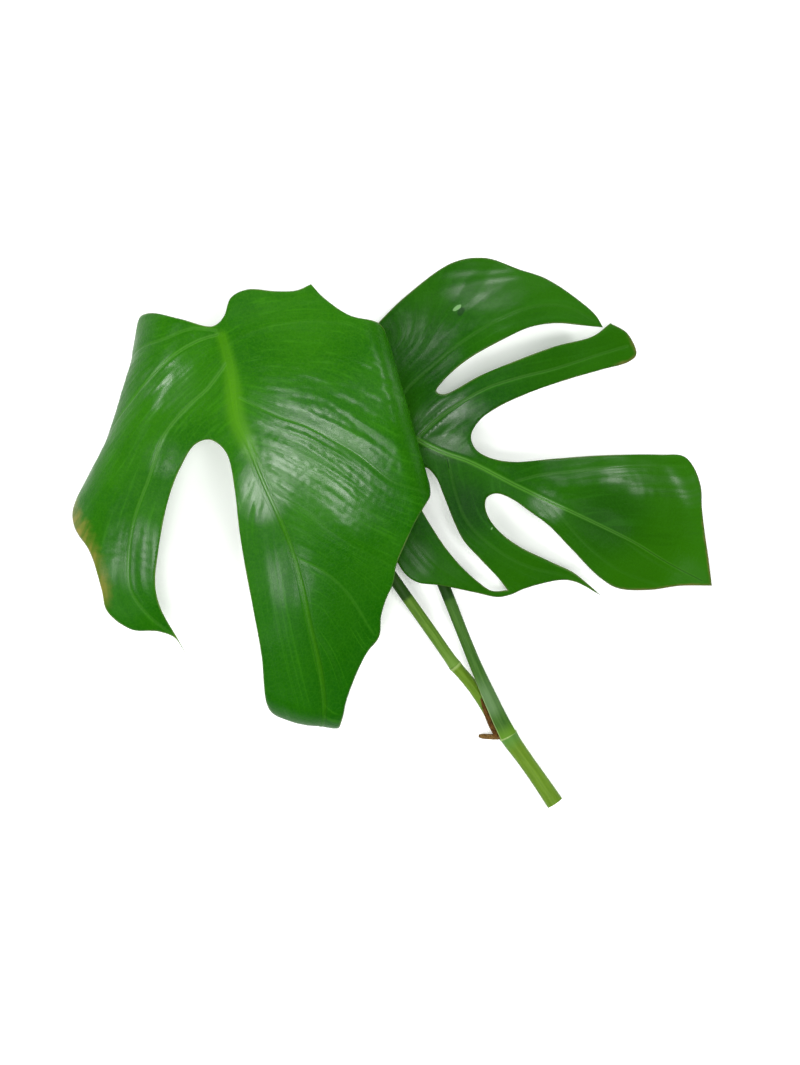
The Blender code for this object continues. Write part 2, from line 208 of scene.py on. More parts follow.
def keepValues(mesh, word, values):
    store = mesh.attributes.new(word, "FLOAT", "POINT")
    store.data.foreach_set("value", np.asarray(values, float))


def makeMesh(name, points, faces):
    mesh = bpy.data.meshes.new(name)
    mesh.from_pydata((keepInBox(points) * mm).tolist(), [], faces)
    mesh.shade_smooth()
    return mesh


def addObject(name, data):
    made = bpy.data.objects.new(name, data)
    bpy.context.scene.collection.objects.link(made)
    return made


def addPiece(name, mesh):
    print(name, len(mesh.polygons), "faces")
    return addObject(name, mesh)


blade = {
    "thickness": 0.9, "marginThickness": 0.35, "marginTaper": 1.6,
    "grid": 1.2,  # spacing of the mesh's points
    "railStep": 0.9,
    "veinStep": 4.0,
    "rimStep": 0.4,
    "rimGap": 0.5,  # how far a vein keeps from the margin
    "veinGap": 0.3,  # how far the rows beside it keep from other points
    "fillGap": 0.6,  # the same for the grid's points, as a share of the grid
    "midribRails": (0.5, 1.0, 1.5, 2.2, 3.2),  # extra rows of points beside the veins
    "lateralRails": (0.4, 0.85, 1.5),
    "puff": 0.9,  # the blade swells between its veins
    "puffReach": 8.0,
    "faintGap": 8.0,  # a faint side vein hardly draws the blade in
    "dimple": 0.06, "dimpleSize": 3.0,
    "ribDepth": 1.9, "ribWidth": 2.6,  # ribs on the lower face
    "sideRibDepth": 0.5, "sideRibWidth": 1.6,
    "pressedHeight": 8.0,  # below this the relief fades out
    "floorBlend": 5.0,
    "veinTaper": 0.75,  # how much flatter the veins are at their tips
    "outerLane": 25.0,  # a lane's width past the last side vein
    "otherHalf": 60.0,  # keeps each half to its own side veins
    "calmMidrib": (0.8, 7.0),  # wrinkles fade in over these distances from a vein
    "calmVein": (0.8, 4.0),
}


class LeafBlade:
    def __init__(self, leaf):
        self.leaf = leaf
        self.height = heightSheet(leaf["heights"])
        self.midrib = smoothLine(leaf["midrib"], blade["veinStep"])
        self.laterals = [smoothLine(line, blade["veinStep"]) for pale, line in leaf["laterals"]]
        self.paleness = np.array([pale for pale, line in leaf["laterals"]])
        self.sides = [toLine(line[-1:], self.midrib)[2][0] for line in self.laterals]
        outlines = [leaf["margin"]] + leaf["holes"]
        self.loops = [closedLine(outline, blade["grid"]) for outline in outlines]
        self.rim = np.vstack([closedLine(outline, blade["rimStep"]) for outline in outlines])

    def surface(self, points):
        height = self.height(points)
        for fold in self.leaf["folds"]:
            points, height = bendOver(points, height, fold)
        floor = blade["thickness"] / 2
        soft = blade["floorBlend"]
        blend = np.maximum(1 - np.abs(height - floor) / soft, 0)
        height = np.maximum(height, floor) + blend ** 2 * soft / 4
        return toWorld(points[:, 0], points[:, 1], height)

    def normals(self, points):
        step = 0.4
        across = self.surface(points + [step, 0]) - self.surface(points - [step, 0])
        up = self.surface(points + [0, step]) - self.surface(points - [0, step])
        normal = np.cross(across, up)
        return normal / norm(normal, axis=1)[:, None]

    def inBlade(self, points):
        within = insideLoop(points, self.loops[0])
        for hole in self.loops[1:]:
            within &= ~insideLoop(points, hole)
        return within

    def flatMesh(self):
        grid = blade["grid"]
        points = np.vstack(self.loops)
        edges = []
        first = 0
        for loop in self.loops:
            edges += [(first + n, first + (n + 1) % len(loop)) for n in range(len(loop))]
            first += len(loop)
        # the veins run through the mesh as edges, with rows of points beside them
        veins = [(self.midrib, blade["midribRails"])]
        veins += [(line, blade["lateralRails"]) for line in self.laterals]
        for centre, offsets in veins:
            line = smoothLine(centre, blade["railStep"])
            clear = self.inBlade(line) & (nearestGap(line, points) > blade["rimGap"])
            kept = np.flatnonzero(clear)
            new = {old: len(points) + n for n, old in enumerate(kept)}
            points = np.vstack([points, line[kept]])
            edges += [(new[n], new[n + 1]) for n in kept if n + 1 in new]
        for centre, offsets in veins:
            beside = rails(smoothLine(centre, blade["railStep"]), offsets)
            beside = beside[self.inBlade(beside)]
            points = np.vstack([points, beside[nearestGap(beside, points) > blade["veinGap"]]])
        # an even spread of points fills the rest
        low, high = self.loops[0].min(axis=0), self.loops[0].max(axis=0)
        spread = []
        for n, y in enumerate(np.arange(low[1], high[1], grid * math.sqrt(0.75))):
            x = np.arange(low[0] + grid * (n % 2) / 2, high[0], grid)
            spread.append(np.stack([x, np.full_like(x, y)], axis=1))
        spread = np.vstack(spread)
        spread = spread[self.inBlade(spread)]
        points = np.vstack([points, spread[nearestGap(spread, points) > grid * blade["fillGap"]]])
        found = delaunay_2d_cdt([Vector(p) for p in points], edges, [], 0, 1e-4)
        flat = np.array([tuple(p) for p in found[0]])
        triangles = np.array([face for face in found[2] if len(face) == 3])
        triangles = triangles[self.inBlade(flat[triangles].mean(axis=1))]
        used, renumbered = np.unique(triangles, return_inverse=True)
        return flat[used], renumbered.reshape(-1, 3)

    def measures(self, flat):
        # distances to the veins and the margin, and a lane number that runs on from vein to vein
        midline, share, hand = toLine(flat, self.midrib)
        rows = np.arange(len(flat))
        gaps, reaches, baseward = [], [], []
        for line, side in zip(self.laterals, self.sides):
            gap, reach, turn = toLine(flat, line)
            gaps.append(np.where(hand == side, gap, gap + blade["otherHalf"]))
            reaches.append(reach)
            baseward.append(turn * side > 0)
        gaps, reaches, baseward = np.array(gaps), np.array(reaches), np.array(baseward)
        nearest = gaps.argmin(axis=0)
        vein = gaps[nearest, rows]
        towards = np.where(baseward[nearest, rows], -1, 1)
        other = nearest + towards
        group = np.array(self.sides)
        missing = (other < 0) | (other >= len(group))
        other = np.clip(other, 0, len(group) - 1)
        missing |= group[other] != group[nearest]
        second = np.where(missing, blade["outerLane"], gaps[other, rows])
        return {
            "midline": midline,
            "share": share,
            "vein": vein,
            "lane": nearest + towards * vein / (vein + second + 1e-6),
            "reach": reaches[nearest, rows],
            "pale": self.paleness[nearest],
            "edge": nearestGap(flat, self.rim),
        }

    def upperShape(self, has):
        # the midrib and the side veins as they stand on the upper face
        shape = self.leaf["midribShape"]
        taper = 1 - blade["veinTaper"] * has["share"]
        away = has["midline"]
        rise, fine = 0.0, 1.0
        if "swell" in shape:
            broad = 1 - ease(has["share"], shape["swellEnd"] - 0.06, shape["swellEnd"] + 0.03)
            fine = 1 - broad
            rise = shape["swell"] * broad * hump(away, shape["swellWidth"])
        rise = rise + shape["ridge"] * fine * taper * hump(away, shape["ridgeWidth"])
        if "slot" in shape:
            rise -= shape["slot"] * taper * hump(away, shape["slotWidth"])
        if "channel" in shape:
            channel = hump(away - shape["channelPlace"], shape["channelWidth"])
            rise -= shape["channel"] * fine * taper * channel
        fade = (1 - blade["veinTaper"] * has["reach"]) * has["pale"] * ease(away, 0.8, 3.0)
        rise -= self.leaf["crease"] * fade * hump(has["vein"], self.leaf["creaseWidth"])
        rise += self.leaf["shoulder"] * fade * hump(has["vein"] - 2 * self.leaf["creaseWidth"], 0.8)
        return rise

    def wrinkles(self, flat, has):
        leaf = self.leaf
        more = np.ones(len(flat))
        for x, y, reach, gain in leaf["wrinkled"]:
            more += gain * hump(np.hypot(flat[:, 0] - x, flat[:, 1] - y), reach)
        across, along = has["lane"] * leaf["puckersPerLane"], has["midline"] / leaf["puckerLength"]
        dimples = flat / blade["dimpleSize"]
        rise = leaf["pucker"] * ripple(across, along, 1.7)
        rise += leaf["pucker"] / 2 * ripple(across * 1.9, along * 1.7, 8.1)
        rise += blade["dimple"] * ripple(dimples[:, 0], dimples[:, 1], 4.2)
        calm = ease(has["midline"], *blade["calmMidrib"])
        return rise * more * calm * ease(has["vein"], *blade["calmVein"])

    def build(self, name):
        flat, triangles = self.flatMesh()
        has = self.measures(flat)
        near = np.minimum(has["midline"], has["vein"] + blade["faintGap"] * (1 - has["pale"]))
        relief = blade["puff"] * (0.5 - hump(near, blade["puffReach"])) + self.wrinkles(flat, has)
        taper = 1 - blade["veinTaper"] * has["share"]
        rib = blade["ribDepth"] * taper * hump(has["midline"], blade["ribWidth"])
        rib += blade["sideRibDepth"] * taper * hump(has["vein"], blade["sideRibWidth"])
        place, normal = self.surface(flat), self.normals(flat)
        pressed = np.clip((place[:, 2] - blade["thickness"] / 2) / blade["pressedHeight"], 0, 1)
        edging = ease(has["edge"], 0, blade["marginTaper"])
        half = (blade["marginThickness"] + (blade["thickness"] - blade["marginThickness"]) * edging) / 2
        relief *= pressed
        upper = place + normal * (half + relief + self.upperShape(has) * pressed * edging)[:, None]
        lower = place - normal * (half + rib * pressed * edging - relief)[:, None]
        lift = np.maximum(-np.minimum(upper[:, 2], lower[:, 2]), 0)
        upper[:, 2] += lift
        lower[:, 2] += lift
        count = len(flat)
        sides = {(a, b) for t in triangles.tolist() for a, b in zip(t, t[1:] + t[:1])}
        faces = [tuple(t) for t in triangles.tolist()]
        faces += [tuple(n + count for n in reversed(t)) for t in triangles.tolist()]
        faces += [(b, a, a + count, b + count) for a, b in sorted(sides) if (b, a) not in sides]
        mesh = makeMesh(name, np.vstack([upper, lower]), faces)
        for word, values in has.items():
            keepValues(mesh, word, np.tile(values, 2))
        keepValues(mesh, "underside", np.repeat([0.0, 1.0], count))
        store = mesh.attributes.new("flat", "FLOAT_VECTOR", "POINT")
        spots = np.column_stack([np.tile(flat, (2, 1)), np.zeros(2 * count)])
        store.data.foreach_set("vector", spots.ravel())
        return addPiece(name, mesh)


stemMesh = {
    "sides": 48,
    "step": 0.9,
    "endRings": (0.97, 0.88, 0.7, 0.4),
    "endBulge": 0.35,
    "bendLength": 26.0,  # the grooved, bent end under a blade
    "bendFade": 8.0,
    "grooveTurn": 2.4,  # radians a mm
    "creaseAngle": 50,  # sharper edges aren't smoothed over
}


def skinRelief(stem):
    # the skin's rise in mm: lengthwise ridges, raised rings, and cross grooves at the bent end
    def relief(at, length, turns):
        rise = stem["ridges"] * (0.6 * np.sin(turns * 9 + 0.4) + 0.4 * np.sin(turns * 14 + at * 0.03))
        for place, height, width in stem["rings"]:
            middle = place if place >= 0 else length + place
            rise = rise + height * math.exp(-((at - middle) / width) ** 2)
        bent = np.clip((at - length + stemMesh["bendLength"]) / stemMesh["bendFade"], 0, 1)
        return rise + stem["grooves"] * bent * math.sin(at * stemMesh["grooveTurn"])
    return relief


def buildStem(name, stem):
    # sweeps an oval along the stem's route
    relief, runOn = skinRelief(stem), stem["runOn"]
    line = smoothLine(stem["route"], stemMesh["step"])
    centres = toWorld(line[:, 0], line[:, 1], line[:, 2])
    tangents = np.gradient(centres, axis=0)
    tangents /= norm(tangents, axis=1)[:, None]
    centres[0] -= tangents[0] * runOn[0]
    centres[-1] += tangents[-1] * runOn[1]
    length = np.concatenate([[0], np.cumsum(norm(np.diff(centres, axis=0), axis=1))])
    turns = np.arange(stemMesh["sides"]) / stemMesh["sides"] * math.tau
    rows = []
    for n, centre in enumerate(centres):
        side = np.cross(tangents[n], (0, 0, 1))
        side /= norm(side)
        up = np.cross(side, tangents[n])
        rise = relief(length[n], length[-1], turns)
        wide = (line[n, 3] + rise) * np.cos(turns)
        high = (line[n, 4] + rise) * np.sin(turns)
        rows.append(centre + wide[:, None] * side + high[:, None] * up)
    alongs = list(length)
    for at, way in ((0, -1), (-1, 1)):  # rounded ends
        face, middle = rows[at], rows[at].mean(axis=0)
        bulge = way * tangents[at] * stemMesh["endBulge"]
        rings = [middle + (face - middle) * size + bulge * (1 - size ** 2)
                 for size in stemMesh["endRings"]]
        if at == 0:
            rows = rings[::-1] + rows
            alongs = [-1.0] * len(rings) + alongs
        else:
            rows = rows + rings
            alongs = alongs + [length[-1] + 1.0] * len(rings)
    sides = len(turns)
    spots = np.vstack(rows)
    spots[:, 2] = np.maximum(spots[:, 2], 0)
    faces = []
    for n in range(len(rows) - 1):
        for m in range(sides):
            k = (m + 1) % sides
            faces.append((n * sides + m, n * sides + k, (n + 1) * sides + k, (n + 1) * sides + m))
    last = (len(rows) - 1) * sides
    faces.append(tuple(reversed(range(sides))))
    faces.append(tuple(range(last, last + sides)))
    mesh = makeMesh(name, spots, faces)
    fixer = bmesh.new()
    fixer.from_mesh(mesh)
    bmesh.ops.recalc_face_normals(fixer, faces=fixer.faces)
    fixer.to_mesh(mesh)
    fixer.free()
    mesh.set_sharp_from_angle(angle=math.radians(stemMesh["creaseAngle"]))
    alongs = np.repeat(alongs, sides)
    keepValues(mesh, "along", alongs)
    keepValues(mesh, "remaining", length[-1] - alongs)
    keepValues(mesh, "around", np.tile(np.sin(turns), len(rows)))
    keepValues(mesh, "across", np.tile(np.cos(turns), len(rows)))
    return addPiece(name, mesh)


class Wire:
    # a node's output that can be used in sums
    def __init__(self, finish, socket):
        self.finish = finish
        self.socket = socket

    def sum(self, operation, first, second):
        return self.finish.node("ShaderNodeMath", {"operation": operation}, {0: first, 1: second})

    def __add__(self, other):
        return self.sum("ADD", self, other)

    def __radd__(self, other):
        return self.sum("ADD", other, self)

    def __sub__(self, other):
        return self.sum("SUBTRACT", self, other)

    def __rsub__(self, other):
        return self.sum("SUBTRACT", other, self)

    def __mul__(self, other):
        return self.sum("MULTIPLY", self, other)

    def __rmul__(self, other):
        return self.sum("MULTIPLY", other, self)

    def __truediv__(self, other):
        return self.sum("DIVIDE", self, other)


class Finish:
    def __init__(self, name, **constants):
        self.material = bpy.data.materials.new(name)
        self.material.use_nodes = True
        self.tree = self.material.node_tree
        self.shader = self.tree.nodes["Principled BSDF"]
        for word, value in constants.items():
            self.shader.inputs[word.replace("_", " ")].default_value = value

    def node(self, kind, settings, values, output=0):
        made = self.tree.nodes.new(kind)
        for word, value in settings.items():
            setattr(made, word, value)
        for place, value in values.items():
            if isinstance(value, Wire):
                self.tree.links.new(value.socket, made.inputs[place])
            else:
                made.inputs[place].default_value = value
        return Wire(self, made.outputs[output])

    def read(self, word):
        return self.node("ShaderNodeAttribute", {"attribute_name": word}, {}, "Fac")

    def readSpot(self, word):
        return self.node("ShaderNodeAttribute", {"attribute_name": word}, {}, "Vector")

    def step(self, value, low, high, fromValue=0.0, toValue=1.0):
        # eases from one value to another while the input goes from low to high
        settings = {"interpolation_type": "SMOOTHSTEP"}
        values = {"Value": value, 1: low, 2: high, 3: fromValue, 4: toValue}
        return self.node("ShaderNodeMapRange", settings, values)

    def blend(self, share, first, second):
        first, second = ((*c, 1.0) if isinstance(c, tuple) else c for c in (first, second))
        return self.node("ShaderNodeMix", {"data_type": "RGBA"}, {0: share, 6: first, 7: second}, 2)

    def cloud(self, spot, scale, detail=3.0):
        return self.node("ShaderNodeTexNoise", {}, {"Vector": spot, "Scale": scale, "Detail": detail})

    def spot(self, x, y, z=0.0):
        return self.node("ShaderNodeCombineXYZ", {}, {"X": x, "Y": y, "Z": z})

    def apart(self, first, second):
        return self.node("ShaderNodeVectorMath", {"operation": "DISTANCE"}, {0: first, 1: second}, 1)

    def patch(self, flat, x, y, wide, core, much):
        # a round patch that fades out beyond its core
        return self.step(self.apart(flat, (x, y, 0)), wide * core, wide, much, 0.0)

    def bump(self, height, strength, distance):
        values = {"Height": height, "Strength": strength, "Distance": distance}
        return self.node("ShaderNodeBump", {}, values)

    def feed(self, word, wire):
        self.tree.links.new(wire.socket, self.shader.inputs[word])


# shared by both leaves: noise scales per mm, and how often veins and streaks of gloss come in a lane
leafSkin = {
    "ior": 1.45, "coatRoughness": 0.27, "bumpDepth": 0.0006,
    "patchSize": 0.022, "fineSize": 0.35, "grainSize": 0.9, "netSize": 0.45, "drySize": 0.06,
    "fineVeins": 26, "glossStreaks": 11,
}


def leafFinish(name, look):
    finish = Finish(name, IOR=leafSkin["ior"], Specular_IOR_Level=look["shine"],
                    Coat_Roughness=leafSkin["coatRoughness"])
    step, blend, cloud = finish.step, finish.blend, finish.cloud
    read, spot, apart = finish.read, finish.spot, finish.apart
    midline, share = read("midline"), read("share")
    vein, lane, reach = read("vein"), read("lane"), read("reach")
    pale, edge = read("pale"), read("edge")
    underside = read("underside")
    flat = finish.readSpot("flat")

    broad = cloud(flat, leafSkin["patchSize"])
    fine = cloud(flat, leafSkin["fineSize"], 4.0)
    skin = blend(step(broad, 0.35, 0.65), look["dark"], look["light"])
    skin = blend(step(fine, 0.35, 0.75) * 0.3, skin, look["fleck"])
    grain = cloud(flat, leafSkin["grainSize"], 4.0)
    skin = blend(step(grain, 0.5, 0.7) * 0.35, skin, look["fleck"])
    skin = blend(step(grain, 0.3, 0.46, 1.0, 0.0) * 0.3, skin, look["shadeAndSpeck"])
    # painted light and shade: away from the stalk the front blade is painted darker, and the back blade,
    # shaded near its stalk, lighter
    far = step(apart(flat, look["base"]), *look["farReach"], 0.0, look["farShare"])
    skin = blend(far, skin, look["far"])
    # painted shade: patches darkened towards the shade tone where the blade lies in shade
    for x, y, wide, much in look["shadedPatches"]:
        skin = blend(finish.patch(flat, x, y, wide, 0.2, much), skin, look["shadeAndSpeck"])

    # fine veins run beside the side veins, and a net of tiny ones crosses them
    stripes = cloud(spot(lane * leafSkin["fineVeins"], midline * 0.05), 1.0, 2.0)
    skin = blend(step(stripes, 0.55, 0.7) * 0.25, skin, look["fineVein"])
    # painted shade in the hollows between the fine veins, where the bump sinks
    skin = blend(step(stripes, 0.30, 0.42, 1.0, 0.0) * look["fineShadeShare"], skin, look["shadeAndSpeck"])
    net = finish.node("ShaderNodeTexVoronoi", {"feature": "DISTANCE_TO_EDGE"},
                      {"Vector": flat, "Scale": leafSkin["netSize"]})
    skin = blend(step(net, 0.0, 0.12, 1.0, 0.0) * 0.12, skin, look["fineVein"])

    # the midrib's pale band narrows along the blade
    bandWidth = step(share, *look["bandFade"], look["bandWide"], look["bandNarrow"])
    bandWidth = bandWidth * step(share, 0.0, 0.2, look["bandStart"], 1.0)
    band = step(midline / bandWidth, 0.05, 1.2, 1.0, 0.0)
    band = band * step(share, *look["bandFade"], *look["bandStrength"])
    band = band * step(share, 0.0, 0.14, look["bandStart"], 1.0)
    brushed = cloud(spot(midline * 0.9, share * 5), 1.0)
    band = band * step(brushed, 0.3, 0.65, 0.7, 1.0)
    skin = blend(band * step(share, 0.8, 1.0, 1.0, 0.3), skin, look["band"])
    at, strength, since = look["groove"]  # painted shade in the midrib's groove, or in one on each side of its ridge
    groove = step(midline, at - 0.4, at) * step(midline, at + 0.1, at + 0.45, strength, 0.0)
    skin = blend(groove * step(share, since, since + 0.05), skin, look["shadeAndSpeck"])

    # side veins: their paler colour with a painted highlight on the shoulders, and painted shade in the
    # crease along their middle
    fade = pale * step(reach, 0.2, 1.0, 1.0, 0.35) * step(midline, 0.5, 3.5)
    skin = blend(step(vein, 0.3, 1.35, 1.0, 0.0) * fade * 0.42, skin, look["veinLine"])
    skin = blend(step(vein, 0.1, 0.6, 1.0, 0.0) * fade * 0.5, skin, look["shadeAndSpeck"])

    # margins: a thin dry rim, and worn yellow-brown patches
    dry = step(cloud(flat, leafSkin["drySize"]), 0.4, 0.6, 0.3, 1.0)
    skin = blend(step(edge, 0.2, 0.9, 1.0, 0.0) * dry, skin, look["rim"])
    for x, y, wide, depth, strength in look["blotches"]:
        patch = finish.patch(flat, x, y, wide, 0.4, 1.0)
        ragged = edge + (cloud(flat, 0.22) - 0.5) * depth
        patch = patch * step(ragged, 0, depth, strength, 0.0)
        patch = patch * step(stripes, 0.4, 0.6, 0.55, 1.1)
        skin = blend(patch, skin, look["blotch"])

    for x, y, wide, high, slant, part in look["nicks"]:  # small nicks and torn flaps of skin, with painted shadow where a mark takes the shade tone
        place = {"Location": (x, y, 0), "Rotation": (0, 0, math.radians(slant)), "Scale": (wide, high, 1)}
        turned = finish.node("ShaderNodeMapping", {"vector_type": "TEXTURE"}, {"Vector": flat, **place})
        near = apart(turned, (0, 0, 0)) + (fine - 0.5) * 0.6
        skin = blend(step(near, 0.75, 1.0, 0.85, 0.0), skin, look[part])
    below = blend(step(fine, 0.3, 0.7), look["belowDark"], look["belowLight"])
    ribs = step(midline, 1.0, 3.2, 0.8, 0.0) + step(vein, 0.3, 1.4, 0.6, 0.0)
    below = blend(ribs, below, look["belowRib"])
    finish.feed("Base Color", blend(underside, skin, below))

    uneven = cloud(flat, 0.05, 4.0)
    rough = step(uneven, 0.3, 0.7, look["roughness"] - 0.05, look["roughness"] + 0.08)
    finish.feed("Roughness", rough + underside * 0.2)
    polish = look["coatLeast"]
    for x, y, wide, much in look["polished"]:
        patch = finish.patch(flat, x, y, wide, 0.25, much)
        polish = polish + (1 - polish) * patch
    # the gloss is drawn out along the side veins, but not next to the midrib
    drawn = cloud(spot(lane * leafSkin["glossStreaks"], midline * 0.03), 1.0)
    dull = step(drawn, 0.4, 0.58, 1.0, 0.0) * step(midline, 2.0, 12.0)
    polish = polish * (1 - look["streaked"] * dull)
    finish.feed("Coat Weight", (1 - underside) * look["coat"] * polish)
    height = stripes * 0.4 + step(net, 0.0, 0.2) * 0.12 + grain * 0.22
    finish.feed("Normal", finish.bump(height, look["bump"], leafSkin["bumpDepth"]))
    return finish.material


def stemFinish(name, look):
    finish = Finish(name, IOR=look["ior"], Specular_IOR_Level=look["shine"])
    step, blend, cloud = finish.step, finish.blend, finish.cloud
    read, spot = finish.read, finish.spot
    along, remaining = read("along"), read("remaining")
    around, across = read("around"), read("across")
    streaks = cloud(spot(around * 3, across * 3, along * 0.05), 1.6, 4.0)
    mottle = cloud(spot(around * 4, across * 4, along * 0.9), 0.9, 4.0)
    skin = blend(step(streaks, 0.35, 0.65), look["dark"], look["light"])
    skin = blend(step(mottle, 0.5, 0.75) * 0.3, skin, look["pale"])
    tints = ((along, look["startTint"], look["startReach"]), (remaining, look["endTint"], look["endReach"]))
    for wire, tint, depth in tints:
        if depth:
            skin = blend(step(wire, 0.3, depth, 0.85, 0.0), skin, tint)
    if look["shadowFrom"]:  # painted shadow: the stalk is painted dark from where its leaf's shadow falls across it
        shade = step(along, look["shadowFrom"], look["shadowFrom"] + 3, 0.0, 0.9)
        skin = blend(shade, skin, look["leafShadowTone"])
    if look["paintedSheen"]:  # a painted bluish sheen along the stalk above the sheath, brighter on one side
        sheenMask = step(along, *look["sheenStart"], 0.0, look["paintedSheen"])
        sheenMask = sheenMask * step(along, *look["sheenEnd"], 1.0, 0.0)
        skin = blend(sheenMask * step(across, -0.4, 0.7, 1.0, 0.5), skin, look["sheenTone"])
    if look["wing"]:  # the pale edge of the sheath runs up one side of the stalk
        wing = step(across, -0.97, -0.86, 1.0, 0.0) * step(along, *look["wingEnd"], look["wing"], 0.0)
        skin = blend(wing, skin, look["scar"])
    if look["endScar"]:  # the pale line around the node
        ragged = remaining + (mottle - 0.5) * 0.8
        scar = step(ragged, 0.4, look["scarWide"], look["endScar"], 0.0)
        skin = blend(scar, skin, look["scar"])
    if look["cutEnd"]:  # pale flesh with the ends of its fibres
        cells = finish.node("ShaderNodeTexVoronoi", {}, {"Vector": spot(around, across), "Scale": 9.0})
        flesh = blend(step(cells, 0.1, 0.45), look["fibre"], look["flesh"])
        skin = blend(step(along, -0.4, 0.2, 1.0, 0.0), skin, flesh)
    finish.feed("Base Color", skin)
    rough = step(mottle, 0.3, 0.7, look["roughness"] - 0.06, look["roughness"] + 0.08)
    finish.feed("Roughness", rough)
    grain = cloud(spot(around * 5, across * 5, along * 1.2), 2.5, 4.0)
    finish.feed("Normal", finish.bump(streaks * 0.5 + grain * 0.2, look["bump"], 0.0004))
    return finish.material


def barkFinish(name, look):
    finish = Finish(name, IOR=look["ior"], Specular_IOR_Level=look["shine"])
    step, blend, cloud, read = finish.step, finish.blend, finish.cloud, finish.read
    along, around, across = read("along"), read("around"), read("across")
    spot = finish.spot(around * 1.3, across * 1.3, along * look["grain"])
    grain = cloud(spot, 2.2, 5.0)
    specks = cloud(spot, 5.0, 2.0)
    skin = blend(step(grain, 0.35, 0.65), look["dark"], look["light"])
    skin = blend(step(specks, 0.58, 0.7) * 0.7, skin, look["speck"])
    finish.feed("Base Color", skin)
    finish.feed("Roughness", step(grain, 0.3, 0.7, look["roughness"] + 0.1, look["roughness"] - 0.1))
    finish.feed("Normal", finish.bump(grain + specks * 0.3, 0.6, 0.0005))
    return finish.material


def settle(piece, node, material):
    piece.data.materials.append(material)
    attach(piece, "root")
    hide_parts(node)


